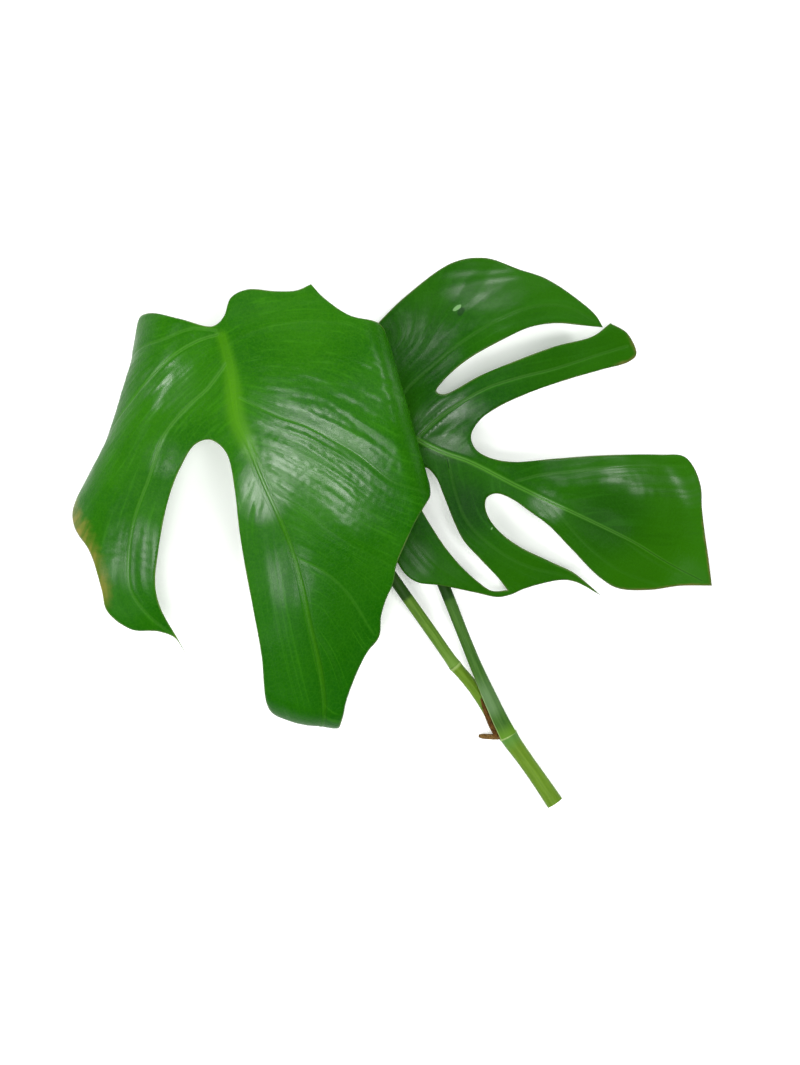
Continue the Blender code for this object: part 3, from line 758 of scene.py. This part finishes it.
frontLeaf = {
    "margin": [
        [(-49, 136.5), (-42.5, 129.5), (-28, 119.5), (-10, 115), (0, 107), (8, 96), (16, 76),
         (20.5, 57), (23.5, 42), (22.5, 26), (12, 12.5), (2, -7.5), (-2, -17.5), (-4, -28), (-8, -37),
         (-10.5, -46), (-11.5, -57), (-18, -65.5), (-23, -75), (-29.5, -92), (-32, -103), (-36, -113),
         (-50, -123)],
        [(-50, -123), (-65, -114), (-73, -95), (-76, -67.5), (-80.5, -42.5), (-85, -19), (-88.5, 3),
         (-91, 25), (-95.5, 44), (-104, 51), (-112.5, 48.5), (-121, 35), (-127.5, 17.5), (-133, -11),
         (-134.5, -29), (-131.5, -42), (-118, -66)],
        [(-118, -66), (-124, -58), (-133, -54.5), (-148, -53), (-161, -43), (-164, -31), (-171, -9.5),
         (-178, -1), (-189, 13), (-202, 34), (-201, 62), (-191, 88), (-176, 108), (-160, 119.5),
         (-140, 121.5), (-121, 117.5), (-103, 113.5), (-97, 118.5), (-93, 129), (-84, 133.5),
         (-68, 132.5), (-57, 133), (-49, 136.5)],
    ],
    "holes": [],
    "heights": [
        (-98, 110, 64), (-86, 52, 62), (-70, 15, 56), (-55, -25, 47), (-44, -75, 33), (-47, -102, 25),
        (-118, 112, 57), (-142, 112, 50), (-128, 72, 55), (-158, 62, 47), (-110, 62, 58),
        (-150, 12, 38), (-130, 10, 41), (-162, -20, 22), (-142, -45, 19), (-119, -63, 11),
        (-172, 10, 33), (-80, 128, 57), (-48, 132, 52), (-50, 80, 61), (-15, 100, 53), (-10, 50, 55),
        (5, 20, 46), (-30, 0, 51), (-8, -30, 36), (-24, -75, 25), (-34, -103, 21), (-80, -60, 38),
        (-73, -97, 24), (-93, 22, 55),
    ],
    "folds": [
        {"start": (-143, 119), "end": (-177, 19), "radius": 25, "turn": 115, "bow": 5, "side": 1},
        {"start": (-6.5, 104), "end": (16, 24.5), "radius": 12, "turn": 115, "bow": 0, "side": -1},
        {"start": (-72.5, -98), "end": (-32, -107.5), "radius": 10, "turn": 95, "bow": -2.5, "side": 1},
    ],
    "midrib": [
        (-98, 108), (-93.5, 91), (-89.5, 62), (-84, 49), (-75, 27), (-61, -5), (-54, -28), (-50, -48),
        (-43, -81), (-42, -103), (-47, -117),
    ],
    # side veins from the stalk to the tip, those left of the midrib first, each with its paleness
    "laterals": [
        (0.5, [(-101, 111), (-115, 112), (-130, 106.5), (-150, 102), (-168, 96)]),
        (0.9, [(-99.5, 109), (-111, 105.5), (-124.5, 97.5), (-142.5, 81), (-153, 71), (-180, 52)]),
        (0.9, [(-95.5, 93), (-106, 79), (-116, 70), (-130, 53), (-138, 30), (-146, 8), (-149, -10),
               (-148, -32), (-138, -46), (-124, -57)]),
        (0.0, [(-76, 29), (-83, 7), (-79, -31), (-72, -67), (-63, -103)]),
        (0.1, [(-95.5, 102), (-80, 111), (-55, 116), (-30, 115), (-6, 106)]),
        (0.4, [(-88, 74), (-67, 64), (-52, 59), (-37, 51), (-22, 42), (-4, 28), (16, 22)]),
        (0.12, [(-74, 24.5), (-57, 14.5), (-30, -4.5), (-6, -18)]),
        (0.3, [(-57, -14), (-42, -21.5), (-30, -32), (-15, -55)]),
        (0.1, [(-49, -51), (-38.5, -67), (-31, -88)]),
    ],
    "midribShape": {
        "swell": 0.3, "swellWidth": 3.4, "swellEnd": 0.3,  # broad and low near the stalk
        "ridge": 0.25, "ridgeWidth": 0.7,
        "channel": 0.65, "channelPlace": 1.4, "channelWidth": 0.55,  # a groove on each side of the ridge
    },
    "crease": 0.42, "creaseWidth": 0.75, "shoulder": 0.2,
    "pucker": 0.15, "puckersPerLane": 14.0, "puckerLength": 22.0,
    # patches where the blade is wrinkled most: x, y, reach, how much more
    "wrinkled": [(-38, 42, 46, 1.9), (-10, 84, 24, 0.8), (-150, 78, 26, 0.8), (-142, -5, 28, 1.0)],
    "skin": {
        "dark": (0.0085, 0.084, 0.0003), "light": (0.0165, 0.115, 0.0006), "fleck": (0.027, 0.138, 0.0015),
        # the far tone is painted shade towards the tip
        "base": (-98, 110, 0), "farReach": (60, 230), "far": (0.0028, 0.072, 0.0003), "farShare": 0.62,
        "fineVein": (0.037, 0.190, 0.005), "veinLine": (0.10, 0.30, 0.035),
        # the shade tone is painted shade in creases, grooves and hollows, and also the grain's own dark
        # specks
        "shadeAndSpeck": (0.006, 0.068, 0.001), "fineShadeShare": 0.25,
        "band": (0.057, 0.205, 0.003), "bandStart": 0.66, "bandWide": 6.6, "bandNarrow": 2.2,
        "bandFade": (0.24, 0.36), "bandStrength": (0.85, 0.3), "groove": (1.4, 0.5, 0.28),
        "rim": (0.09, 0.17, 0.03), "blotch": (0.25, 0.19, 0.04),
        "blotches": [(-184, 10, 26, 12, 0.65), (-168, -22, 24, 8, 0.55)],  # x, y, reach, depth, strength
        "nicks": [],
        # painted shade where the blade tilts away from the light: x, y, reach, how much
        "shadedPatches": [(-28, -50, 40, 0.15)],
        "belowDark": (0.045, 0.16, 0.022), "belowLight": (0.075, 0.22, 0.04),
        "belowRib": (0.16, 0.34, 0.06),
        "roughness": 0.36, "shine": 0.05, "coat": 1.0, "coatLeast": 0.03, "streaked": 0.6, "bump": 0.6,
        # where the skin is most polished: x, y, reach, how much
        "polished": [(-52, 54, 44, 1.0), (-24, 28, 36, 1.0), (-76, 22, 20, 1.0), (-66, 34, 18, 1.0),
                     (-12, 80, 26, 0.5), (-127, 82, 20, 1.0), (-130, 42, 14, 0.8),
                     (-146, -12, 24, 1.0), (-60, -24, 22, 0.3)],
    },
}

backLeaf = {
    "margin": [
        [(-8.5, 62), (-12, 65.5), (-21, 67), (-28, 74), (-29.5, 87), (-24, 101.5), (-11.5, 115.5),
         (4, 130.5), (29, 148.5), (47, 151), (66, 144.5), (80, 139.5), (99, 127), (108, 119),
         (111.5, 112.8)],
        [(111.5, 112.8), (98.5, 114), (85.5, 115), (71.5, 112.8), (56.5, 106), (36.5, 94.5),
         (23.5, 83), (20, 77.5), (24, 76), (44.5, 86.5), (65, 95), (85.5, 102.5), (106, 108),
         (115.5, 115)],
        [(115.5, 115), (125, 109.5), (130, 98), (126, 94), (110.5, 89.5), (90, 83.5), (70, 76.5),
         (53, 68.5), (43.5, 61.5), (39, 53), (41.5, 46), (48.5, 41.5), (61.5, 38.8), (84.5, 40.5),
         (110, 42.3), (143, 42.8), (156, 42), (161.5, 36), (165.5, 25), (166, 14), (167.8, -2),
         (169.7, -15), (171.6, -29.3)],
        [(171.6, -29.3), (154, -29.3), (137.5, -31.5), (120, -30.5), (110, -24.5), (94.5, -9),
         (82, 3.8), (71.5, 11.5), (60.5, 19), (52.8, 21.5), (48, 19.5), (46.8, 15), (48.7, 8.5),
         (54.5, 0.8), (65.5, -7.5), (83, -16), (95, -21.7), (103.5, -28.5), (110.4, -34.5)],
        [(110.4, -34.5), (97.5, -27.5), (90.5, -26), (80, -27.5), (68, -31), (60.5, -34.2),
         (53.5, -35.5), (41.5, -33), (22, -29), (10, -27.5), (3.5, -23.5), (-1.7, -16), (-7, -5),
         (-12, 8), (-15.5, 23), (-16, 40), (-12.5, 53), (-8.5, 62)],
    ],
    "holes": [
        [[(59, -31.6), (54, -25), (44, -14.5), (35, -4.5), (30.5, 4), (26.5, 14), (23, 23), (20, 30),
          (14, 35.8), (8.5, 31), (8.3, 20.5), (12, 12.5), (17.5, 3), (25.5, -9), (34, -19),
          (43, -27.2), (50.5, -32), (59, -31.6)]],
    ],
    "heights": [
        (-8, 60, 23), (24, 44, 25), (55, 31, 24), (91, 13, 22), (129, -5, 17), (169, -28, 5),
        (-24, 80, 16), (5, 78, 22), (4, 129, 6), (29, 147, -4), (57, 147, -4), (82, 138, 6),
        (36, 98, 21), (55, 117, 20), (98, 121, 14), (111, 112, 13), (36, 74, 25), (65, 85, 22),
        (95, 93, 15), (127, 102, 7), (44, 60, 22), (88, 39, 16), (132, 41, 8), (158, 40, -4),
        (132, 18, 16), (164, 5, 2), (88, -1, 17), (115, -27, 8), (145, -30, 3), (28, 29, 23),
        (48, 9, 20), (64, -16, 12), (84, -22, 8), (110, -34, 3), (55, -30, 9), (-13, 10, 19),
        (22, -15, 20), (20, -29, 19.5), (42, -31, 14),
    ],
    "folds": [],
    "midrib": [
        (-7, 60.5), (10.5, 50.5), (24, 44), (38, 39), (64.5, 25.5), (91, 13), (110, 4), (129, -5.5),
        (147, -16.5), (166, -26.5),
    ],
    "laterals": [
        (0.4, [(-9, 64), (-17, 74), (-19, 88), (-9, 108)]),
        (0.4, [(-5, 62), (3, 77.5), (19, 92.5), (34.5, 105), (54.5, 117), (75, 124.5), (93.5, 123.5),
               (108, 116)]),
        (1.0, [(9, 51.5), (24, 65), (47, 79), (65, 85), (85, 90), (110, 98), (125, 102.5)]),
        (0.4, [(61.5, 27.5), (77, 31.5), (96, 33.5), (122, 36.5), (157, 36)]),
        (0.15, [(-3.5, 58), (0, 42.5), (0.5, 20.5), (6, 0), (19, -17), (38, -29), (50, -33.6)]),
        (0.3, [(25, 43), (27.5, 34.5), (31, 20), (37.5, 5), (54, -10), (72, -19), (91, -23.5),
               (104, -30)]),
        (0.2, [(80, 18), (91, 6), (104.5, -8.5), (122, -21.5), (142, -28.5)]),
        (0.2, [(118, 0.3), (135, -13), (154, -24)]),
    ],
    "midribShape": {"ridge": 0.75, "ridgeWidth": 1.6, "slot": 0.55, "slotWidth": 0.4},  # a split ridge
    "crease": 0.4, "creaseWidth": 0.7, "shoulder": 0.22,
    "pucker": 0.14, "puckersPerLane": 12.0, "puckerLength": 24.0,
    "wrinkled": [(132, 28, 34, 1.0), (70, 35, 20, 1.0), (80, 0, 30, 0.8)],
    "skin": {
        "dark": (0.0042, 0.052, 0.0003), "light": (0.0095, 0.073, 0.0005), "fleck": (0.015, 0.090, 0.0013),
        # the far tone is painted lighter, the blade near its stalk standing in the front leaf's shade
        "base": (0, 55, 0), "farReach": (40, 170), "far": (0.019, 0.110, 0.0008), "farShare": 0.8,
        "fineVein": (0.020, 0.115, 0.005), "veinLine": (0.078, 0.23, 0.035),
        # the shade tone is painted shade in creases, grooves and hollows, and also the grain's own dark
        # specks
        "shadeAndSpeck": (0.0024, 0.032, 0.0005), "fineShadeShare": 0.12,
        "band": (0.067, 0.222, 0.02), "bandStart": 1.0, "bandWide": 1.8, "bandNarrow": 1.0,
        "bandFade": (0.05, 0.95), "bandStrength": (1.0, 0.55), "groove": (0.0, 0.6, -0.1),
        "rim": (0.07, 0.12, 0.025), "blotch": (0.15, 0.12, 0.035),
        "blotches": [(128, 97, 14, 2.5, 0.6), (145, -31, 34, 1.8, 0.7), (169, -8, 26, 1.8, 0.6)],
        # x, y, half length, half width, slant and colour; a shade-tone mark is a painted shadow beside a
        # flap or along a crease
        "nicks": [(33.6, 121.0, 3.0, 1.9, 55, "shadeAndSpeck"), (31.6, 123.2, 3.0, 1.3, 35, "nickPale"),
                  (50.4, 2.4, 0.9, 0.5, 60, "nickPale"), (26.4, 38, 3.4, 0.35, 100, "shadeAndSpeck")],
        "nickPale": (0.15, 0.30, 0.11),
        # painted shade, where the blade lies in shade: x, y, reach, how much
        "shadedPatches": [(116, 9, 30, 0.55), (36, 12, 24, 0.65), (2, -8, 24, 0.4), (14, 84, 24, 0.3)],
        "belowDark": (0.03, 0.12, 0.018), "belowLight": (0.055, 0.17, 0.03),
        "belowRib": (0.13, 0.29, 0.06),
        "roughness": 0.38, "shine": 0.035, "coat": 0.85, "coatLeast": 0.02, "streaked": 0.75, "bump": 0.5,
        "polished": [(28, 62, 26, 1.0), (86, 34, 12, 0.9), (100, 37, 13, 1.0), (117, 34, 13, 1.0),
                     (134, 29, 13, 0.8), (149, 26, 13, 0.8), (161, 23, 11, 1.0),
                     (80, 14, 13, 0.7), (12, 104, 30, 0.6), (46, 131, 27, 1.0), (8, -16, 14, 0.3)],
    },
}


def makeLeaves():
    for leaf, side in ((frontLeaf, "front"), (backLeaf, "back")):
        piece = LeafBlade(leaf).build(side + "_blade")
        settle(piece, "leaf_" + side, leafFinish(side + " leaf skin", leaf["skin"]))


# what the green stems share; an end reach, scar, painted sheen or wing of 0 leaves it out
greenStem = {
    "dark": (0.076, 0.155, 0.007), "light": (0.096, 0.185, 0.010), "pale": (0.128, 0.215, 0.026),
    "scar": (0.30, 0.42, 0.14), "flesh": (0.34, 0.40, 0.12), "fibre": (0.20, 0.25, 0.06),
    "startTint": (0, 0, 0), "startReach": 0.0, "endTint": (0, 0, 0), "endReach": 0.0,
    "endScar": 0.0, "cutEnd": 0.0, "wing": 0.0, "paintedSheen": 0.0,
    "scarWide": 1.2, "shadowFrom": 0.0, "leafShadowTone": (0.006, 0.036, 0.001),
    # the painted sheen's span and tone, and where the wing ends
    "sheenStart": (10, 19), "sheenEnd": (24, 40), "sheenTone": (0.135, 0.225, 0.105), "wingEnd": (15, 50),
    "ior": 1.42, "shine": 0.14, "roughness": 0.48, "bump": 0.3,
    "rings": [], "grooves": 0.0,
}

# each piece's route is plan x, plan y, height of the centre line, half width, half height; its ends
# run on into their neighbours by runOn; a ring is its place (from the end if negative), height and width
lowerStem = {
    **greenStem,
    "route": [
        (85.3, -148.8, 4.7, 4.7, 4.7), (78, -138, 4.7, 4.4, 4.4), (68.5, -124.5, 5.3, 4.3, 4.3),
        (62, -115.5, 6.1, 4.7, 4.7), (59.5, -111.5, 6.5, 5.0, 5.0),
    ],
    "runOn": (0, 0.35),
    "ridges": 0.05, "rings": [(-0.4, 0.28, 0.8)],
    "cutEnd": 1.0, "endTint": (0.065, 0.185, 0.030), "endReach": 10.0, "endScar": 0.8,
}

upperStem = {
    **greenStem,
    "route": [
        (57.3, -111.5, 4.2, 2.6, 2.6), (53.2, -106.5, 4.2, 2.9, 2.8), (46.3, -93.8, 5.0, 3.3, 3.2),
        (39.8, -84.3, 6.8, 3.3, 3.3), (32.6, -75.8, 8.7, 3.25, 3.25), (30.4, -73.3, 9.2, 3.5, 3.5),
    ],
    "runOn": (1.2, 0.3),
    "ridges": 0.04, "rings": [(-0.3, 0.2, 0.7)],
    "startTint": (0.125, 0.14, 0.025), "startReach": 14.0,
    "endScar": 0.6, "scarWide": 2.2,
}

frontStalk = {
    **greenStem,
    "route": [
        (30.0, -72.8, 9.3, 3.5, 3.5), (28, -70, 9.7, 3.2, 3.2), (14, -50, 12.5, 3.1, 3.1),
        (-3, -26, 17, 3.1, 3.1), (-26, 7, 25, 3.1, 3.1), (-50, 41, 35, 3.1, 3.1),
        (-72, 72, 45, 3.2, 3.2), (-86, 92, 51.5, 3.6, 3.6), (-93, 102, 54.8, 3.9, 3.9),
        (-97, 108, 57.7, 3.7, 3.7),
    ],
    "runOn": (0.3, 0.6),
    "ridges": 0.03, "grooves": 0.12,
    "dark": (0.056, 0.135, 0.009), "light": (0.083, 0.175, 0.015), "pale": (0.13, 0.23, 0.035),
    "startTint": (0.10, 0.195, 0.026), "startReach": 16.0, "shadowFrom": 44.0,
}

backStalk = {
    **greenStem,
    "route": [
        (59.4, -111.3, 9.5, 4.7, 2.3), (54.5, -101.6, 10.8, 4.3, 2.7), (49.4, -90.5, 12.2, 3.9, 3.1),
        (41.6, -73, 12.8, 3.3, 3.2), (35.4, -57.8, 12.8, 3.1, 3.1), (26, -34, 12.3, 3.2, 3.2),
        (14, -5, 12.3, 3.2, 3.2), (2, 27, 13.6, 3.3, 3.3), (-6, 50, 16, 3.6, 3.6),
        (-8.5, 57, 18, 3.4, 3.4),
    ],
    "runOn": (0.5, 0.6),
    "ridges": 0.04, "grooves": 0.12,
    "dark": (0.025, 0.084, 0.007), "light": (0.043, 0.116, 0.013), "pale": (0.068, 0.142, 0.034),
    "startTint": (0.085, 0.20, 0.011), "startReach": 9.0, "wing": 0.6, "paintedSheen": 0.5, "shadowFrom": 80.0,
}

rootStub = {
    "route": [
        (55.5, -112.4, 4.6, 1.5, 1.5), (50, -112.3, 3.3, 1.4, 1.4), (45.5, -112.1, 2.6, 1.3, 1.3),
        (43.5, -111.9, 2.4, 0.8, 0.8),
    ],
    "runOn": (0.8, 0),
    "ridges": 0.12, "rings": [(2.0, -0.15, 0.5), (5.0, 0.12, 0.8)], "grooves": 0.0,
    "dark": (0.060, 0.028, 0.006), "light": (0.20, 0.115, 0.030), "speck": (0.32, 0.22, 0.08),
    "grain": 1.0, "ior": 1.4, "shine": 0.15, "roughness": 0.75,
}

drySheath = {
    "route": [
        (53.2, -112, 8.1, 1.3, 0.45), (50.2, -105.5, 8.1, 1.7, 0.45), (46.9, -98, 8.8, 1.2, 0.45),
        (44.6, -91.5, 9.6, 0.4, 0.35),
    ],
    "runOn": (0.4, 0),
    "ridges": 0.03, "rings": [], "grooves": 0.0,
    "dark": (0.030, 0.012, 0.0015), "light": (0.115, 0.050, 0.006), "speck": (0.18, 0.085, 0.012),
    "grain": 0.25, "ior": 1.4, "shine": 0.15, "roughness": 0.65,
}


def makeStems():
    pieces = (
        ("lower_internode", lowerStem, stemFinish, "lower stem skin"),
        ("upper_internode", upperStem, stemFinish, "upper stem skin"),
        ("petiole_front", frontStalk, stemFinish, "front stalk skin"),
        ("petiole_back", backStalk, stemFinish, "back stalk skin"),
        ("aerial_root", rootStub, barkFinish, "root skin"),
        ("dried_sheath", drySheath, barkFinish, "dry sheath skin"),
    )
    for node, stem, dress, words in pieces:
        settle(buildStem(node + "_skin", stem), node, dress(words, stem))


studio = {
    "floor": (0.90, 0.90, 0.89),
    "floorSize": 40,
    "floorDrop": 0.0003,
    "world": (0.95, 0.98, 1.0),
    "worldStrength": 0.22,
    "floorGlow": 0.24,  # keeps the shadows light
    # place, width and height in metres, power in watts, and whether the leaves mirror it
    "lamps": [
        ((-1.30, 1.20, 1.10), 1.4, 1.2, 8.0, False),
        ((0.22, 0.02, 1.45), 0.25, 0.25, 3.6, True),
        ((0.48, -0.38, 1.40), 0.32, 0.28, 5.2, True),
        ((-0.28, -0.66, 1.40), 0.42, 0.25, 6.5, True),
        ((-0.14, -0.34, 1.42), 0.34, 0.22, 3.4, True),
        ((-1.06, -0.98, 1.25), 0.80, 0.25, 8.0, True),
        ((-1.25, 0.17, 0.90), 0.40, 0.30, 7.0, True),
        ((-0.05, 1.15, 1.30), 0.80, 0.30, 5.0, True),
        ((1.22, 1.20, 1.27), 1.60, 0.28, 17.0, True),
        ((-0.15, 1.50, 0.38), 0.80, 0.25, 5.0, True),
    ],
}


def makeStudio():
    bpy.ops.mesh.primitive_plane_add(size=studio["floorSize"], location=(0, 0, -studio["floorDrop"]))
    floor = bpy.context.object
    floor.name = "floor"
    finish = Finish("pale floor", Roughness=0.9, Emission_Color=(1, 1, 1, 1),
                    Emission_Strength=studio["floorGlow"])
    place = finish.node("ShaderNodeTexCoord", {}, {}, "Object")
    darker = tuple(part * 0.99 for part in studio["floor"])
    finish.feed("Base Color", finish.blend(finish.cloud(place, 3.0), studio["floor"], darker))
    floor.data.materials.append(finish.material)
    world = bpy.data.worlds.new("soft room")
    world.use_nodes = True
    sky = world.node_tree.nodes["Background"]
    sky.inputs["Color"].default_value = (*studio["world"], 1)
    sky.inputs["Strength"].default_value = studio["worldStrength"]
    bpy.context.scene.world = world
    world.cycles_visibility.glossy = False  # the room itself leaves no haze on the leaves
    for n, (place, wide, high, power, mirrored) in enumerate(studio["lamps"]):
        light = bpy.data.lights.new("lamp" + str(n), "AREA")
        light.shape = "RECTANGLE"
        light.size = wide
        light.size_y = high
        light.energy = power
        lamp = addObject(light.name, light)
        lamp.location = place
        lamp.visible_glossy = mirrored
        lamp.rotation_euler = (-Vector(place)).to_track_quat("-Z", "Y").to_euler()
    bpy.context.scene.view_settings.view_transform = "Standard"  # keeps the leaves' full green


def makeCamera():
    # straight above, where the plan's points are seen as drawn
    camera = addObject("camera", bpy.data.cameras.new("camera"))
    camera.location = (-plan["centre"][0] * mm, -plan["centre"][1] * mm, plan["eyeHeight"] * mm)
    camera.data.sensor_width = plan["sensor"]
    camera.data.lens = plan["sensor"] * plan["eyeHeight"] / plan["photoHeight"]
    camera.data.clip_start = 0.01
    bpy.context.scene.camera = camera


print("leaves")
makeLeaves()
print("stems")
makeStems()
print("studio and camera")
makeStudio()
makeCamera()
